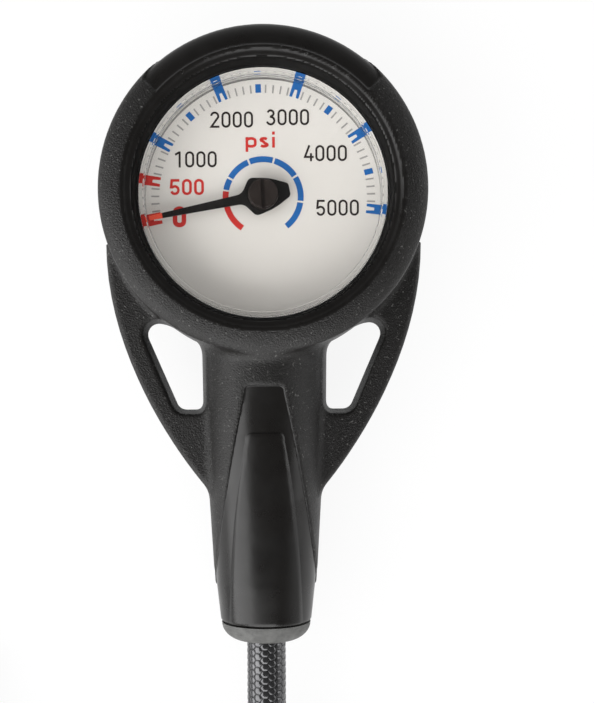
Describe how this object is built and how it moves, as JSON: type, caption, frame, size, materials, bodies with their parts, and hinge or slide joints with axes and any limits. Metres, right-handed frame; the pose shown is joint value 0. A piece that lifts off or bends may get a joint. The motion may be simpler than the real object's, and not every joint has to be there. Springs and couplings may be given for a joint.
{
  "type": "submersible pressure gauge",
  "caption": "Diving pressure gauge with a round dial and pointer in a rubber boot with clip loops, on a coiled braided high-pressure hose with a threaded end fitting.",
  "frame": {"origin": "on the boot's flat back, under the centre of the dial", "axes": "+Z out of the dial, +Y from the hose end to the top of the dial, +X to the right of the dial"},
  "size_m": [0.1174, 0.2626, 0.0315],
  "materials": {
    "boot_rubber": "moulded, fine grain",
    "collar_rubber": "moulded, smooth",
    "black_rubber": "smooth",
    "brass": "turned",
    "steel": "turned",
    "chromed_brass": "chrome plated",
    "lens": "polished",
    "dial_face": "matt print",
    "pointer_black": "matt black, bright tip",
    "hose_braid": "glossy black and silver braid",
    "tie_fabric": "woven",
    "plug_plastic": "moulded"
  },
  "bodies": {
    "hose_end": {"swivel_spool": "steel", "spool_orings": "black_rubber", "hose_insert": "chromed_brass", "gauge_ferrule": "chromed_brass", "hose_tail": "hose_braid", "hose_run": "hose_braid", "hose_coil": "hose_braid", "coil_tie": "tie_fabric", "end_ferrule": "chromed_brass", "stage_fitting": "chromed_brass", "fitting_oring": "black_rubber"},
    "gauge": {"boot": "boot_rubber", "end_collar": "collar_rubber", "gauge_case": "chromed_brass", "blowout_plug": "plug_plastic", "lens": "lens", "lens_gasket": "black_rubber", "retaining_ring": "chromed_brass", "dial": "dial_face", "socket_block": "brass", "bourdon_tube": "brass", "hairspring": "steel", "hairspring_stud": "brass", "lower_plate": "brass", "upper_plate": "brass", "plate_pillars": "steel", "plate_screws": "steel", "movement_screws": "steel", "swivel_nut": "chromed_brass"},
    "sector": {"sector_gear": "brass", "sector_arbor": "steel", "tail_rivet": "steel"},
    "pointer": {"pinion": "brass", "pointer": "pointer_black", "pointer_cap": "pointer_black"},
    "link": {"tip_link": "steel"},
    "tip": {"tube_tip": "brass", "tip_pin": "steel"}
  },
  "joints": [
    {"name": "hose_swivel", "type": "hinge", "parent": "hose_end", "child": "gauge", "pos_m": [0, -0.045, 0.015], "axis": [0, 1, 0], "continuous": true},
    {"name": "sector_swing", "type": "hinge", "parent": "gauge", "child": "sector", "pos_m": [0.0115, -0.00799, 0.011], "axis": [0, 0, 1], "range_deg": [0, 33.33], "stiffness_Nm_per_rad": 0.01, "springref_deg": -17.19},
    {"name": "pointer_spin", "type": "hinge", "parent": "gauge", "child": "pointer", "pos_m": [0, 0, 0.011], "axis": [0, 0, 1], "range_deg": [-200, 0], "deforming": ["hairspring"]},
    {"name": "link_swing", "type": "hinge", "parent": "sector", "child": "link", "pos_m": [0.0155, -0.01098, 0.0118], "axis": [0, 0, 1], "range_deg": [-28.9, 0]},
    {"name": "tip_flex", "type": "hinge", "parent": "gauge", "child": "tip", "pos_m": [-0.009, 0.003, 0.0138], "axis": [0, 0, 1], "range_deg": [0, 5.9], "deforming": ["bourdon_tube"]}
  ],
  "couplings": [
    {"joint": "pointer_spin", "follows": "sector_swing", "ratio": -6},
    {"joint": "link_swing", "follows": "sector_swing", "ratio": -0.8648},
    {"joint": "tip_flex", "follows": "sector_swing", "ratio": 0.177}
  ]
}
